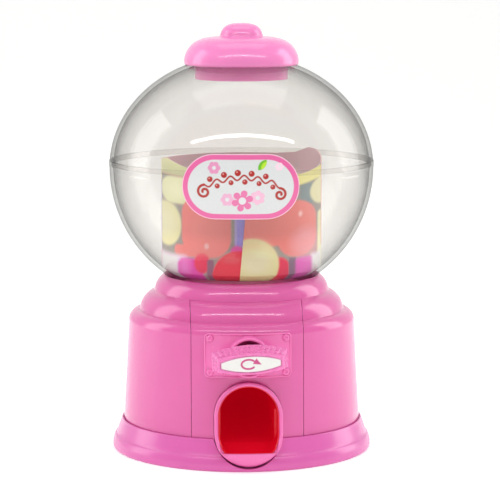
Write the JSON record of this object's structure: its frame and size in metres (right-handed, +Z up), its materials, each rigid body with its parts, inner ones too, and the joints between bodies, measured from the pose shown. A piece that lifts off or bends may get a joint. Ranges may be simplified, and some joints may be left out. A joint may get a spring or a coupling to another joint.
{
  "type": "toy gumball machine",
  "caption": "Toy gumball machine: clear round globe with a printed card inside and a lift-off lid, on a stepped base with a turning knob, geared candy wheel and open spout.",
  "frame": {"origin": "middle of the underside of the foot ring, on the floor and on the globe's axis", "axes": "+Z up along the globe's axis; the knob, spout and globe label face -Y; +X is to the right when looking at the front"},
  "size_m": [0.0868, 0.0966, 0.14],
  "materials": {
    "pink_foot": "gloss",
    "pink_base": "gloss",
    "pink_trim": "gloss",
    "pink_knob": "gloss",
    "pink_lid": "gloss",
    "inner_pink": "satin",
    "slide_red": "satin",
    "wheel_white": "satin",
    "clear_globe": "clear gloss",
    "label_print": "printed",
    "card_print": "printed",
    "screw_steel": "bright"
  },
  "bodies": {
    "base": {"foot_ring": "pink_foot", "bottom_cover": "pink_foot", "cover_screws": "screw_steel", "base_shell": "pink_base", "front_panel": "pink_base", "knob_plate": "pink_trim", "plate_rivets": "pink_trim", "chute_spout": "pink_trim", "candy_slide": "slide_red", "dispensing_deck": "inner_pink", "deck_screws": "screw_steel", "axle_screw": "screw_steel", "hopper_plate": "inner_pink", "globe_bowl": "clear_globe", "globe_dome": "clear_globe", "globe_label": "label_print", "printed_card": "card_print"},
    "lid": {"lid": "pink_lid"},
    "knob": {"knob": "pink_knob", "knob_label": "label_print", "knob_shaft": "inner_pink", "shaft_clip": "screw_steel", "drive_pinion": "wheel_white"},
    "wheel": {"candy_wheel": "wheel_white"}
  },
  "joints": [
    {"name": "lid_lift", "type": "slide", "parent": "base", "child": "lid", "axis": [0, 0, 1], "range_m": [0, 0.025]},
    {"name": "knob_turn", "type": "hinge", "parent": "base", "child": "knob", "pos_m": [0, 0, 0.0366], "axis": [0, 1, 0], "continuous": true},
    {"name": "wheel_turn", "type": "hinge", "parent": "base", "child": "wheel", "pos_m": [0, 0, 0.0456], "axis": [0, 0, 1], "continuous": true}
  ],
  "couplings": [
    {"joint": "knob_turn", "follows": "wheel_turn", "ratio": 3.6}
  ]
}
